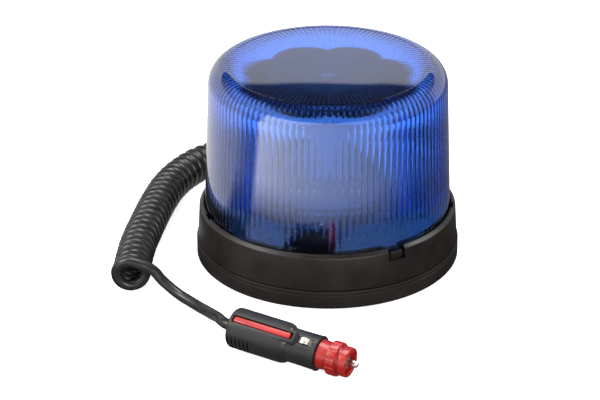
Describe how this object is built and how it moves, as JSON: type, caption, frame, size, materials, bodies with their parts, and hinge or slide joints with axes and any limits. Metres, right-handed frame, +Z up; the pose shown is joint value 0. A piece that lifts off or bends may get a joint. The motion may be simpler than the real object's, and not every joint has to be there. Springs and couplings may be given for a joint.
{
  "type": "magnetic beacon",
  "caption": "Blue domed LED warning beacon on a round magnetic foot, with a curly supply cord and a universal vehicle socket plug.",
  "frame": {"origin": "centre of the beacon's underside, on the surface that it stands on", "axes": "+Z up, +X to the right and -Y towards the viewer, with the cord's exit at the back and the plug in front"},
  "size_m": [0.2202, 0.3286, 0.13],
  "materials": {
    "boot_rubber": "matt moulded",
    "ferrite": "matt sintered",
    "zinc_steel": "zinc plated",
    "seal_rubber": "matt",
    "housing_plastic": "fine moulded texture",
    "spring_steel": "bright",
    "lens_polycarbonate": "clear tinted gloss",
    "circuit_board": "solder resist",
    "component_plastic": "satin",
    "terminal_plastic": "satin",
    "capacitor_can": "satin",
    "sink_aluminium": "as cast",
    "led_board_white": "white solder resist",
    "led_phosphor": "gloss",
    "reflector_coating": "vacuum metallised",
    "cap_plastic": "satin",
    "cord_rubber": "satin",
    "plug_plastic": "fine moulded texture",
    "plug_red": "satin",
    "contact_nickel": "nickel plated",
    "fuse_glass": "clear"
  },
  "bodies": {
    "base": {"foot_boot": "boot_rubber", "magnet_ring": "ferrite", "pole_plate": "zinc_steel", "base_screw_1": "zinc_steel", "base_screw_2": "zinc_steel", "base_screw_3": "zinc_steel", "vent_plug": "seal_rubber", "base_housing": "housing_plastic", "lens_seal": "seal_rubber", "catch_spring": "spring_steel", "driver_board": "circuit_board", "board_screw_1": "zinc_steel", "board_screw_2": "zinc_steel", "board_screw_3": "zinc_steel", "choke": "component_plastic", "driver_chip": "component_plastic", "terminal_block": "terminal_plastic", "capacitor_left": "capacitor_can", "capacitor_right": "capacitor_can", "heat_sink": "sink_aluminium", "led_board": "led_board_white", "reflector": "reflector_coating", "reflector_cap": "cap_plastic", "centre_bolt": "zinc_steel", "strain_relief": "cord_rubber", "supply_lead": "cord_rubber", "cord_tail_beacon": "cord_rubber", "cord_coil": "cord_rubber", "cord_tail_plug": "cord_rubber", "plug_housing": "plug_plastic", "clamp_pin": "zinc_steel", "nose_ferrule": "contact_nickel", "tip_spring": "spring_steel", "led_1": "led_phosphor", "led_2": "led_phosphor", "led_3": "led_phosphor", "led_4": "led_phosphor", "led_5": "led_phosphor", "led_6": "led_phosphor", "led_7": "led_phosphor", "led_8": "led_phosphor"},
    "lens": {"lens_dome": "lens_polycarbonate"},
    "catch": {"lens_catch": "housing_plastic"},
    "plug_adapter": {"adapter_sleeve": "plug_red"},
    "plug_tip": {"centre_pin": "contact_nickel", "fuse": "fuse_glass"},
    "plug_contact_upper": {"contact_upper": "contact_nickel"},
    "plug_contact_lower": {"contact_lower": "contact_nickel"},
    "plug_clamp": {"clamp_bar": "plug_red"}
  },
  "joints": [
    {"name": "lens_twist", "type": "hinge", "parent": "base", "child": "lens", "pos_m": [0, 0, 0.031], "axis": [0, 0, 1], "range_deg": [0, 6.5]},
    {"name": "catch_press", "type": "slide", "parent": "base", "child": "catch", "axis": [0, 0, -1], "range_m": [0, 0.0015], "stiffness_N_per_m": 600, "deforming": ["catch_spring"]},
    {"name": "adapter_pull", "type": "slide", "parent": "base", "child": "plug_adapter", "axis": [0.88, -0.4718, -0.0547], "range_m": [0, 0.022]},
    {"name": "tip_press", "type": "slide", "parent": "base", "child": "plug_tip", "axis": [-0.88, 0.4718, 0.0547], "range_m": [0, 0.0025], "stiffness_N_per_m": 900, "deforming": ["tip_spring"]},
    {"name": "contact_upper_press", "type": "slide", "parent": "base", "child": "plug_contact_upper", "axis": [0.2243, 0.5143, -0.8278], "range_m": [0, 0.0012], "stiffness_N_per_m": 1500},
    {"name": "contact_lower_press", "type": "slide", "parent": "base", "child": "plug_contact_lower", "axis": [-0.2243, -0.5143, 0.8278], "range_m": [0, 0.0012], "stiffness_N_per_m": 1500},
    {"name": "clamp_open", "type": "hinge", "parent": "base", "child": "plug_clamp", "pos_m": [-0.02474, -0.15658, 0.0205], "axis": [0.4187, 0.7162, 0.5584], "range_deg": [0, 60]}
  ]
}
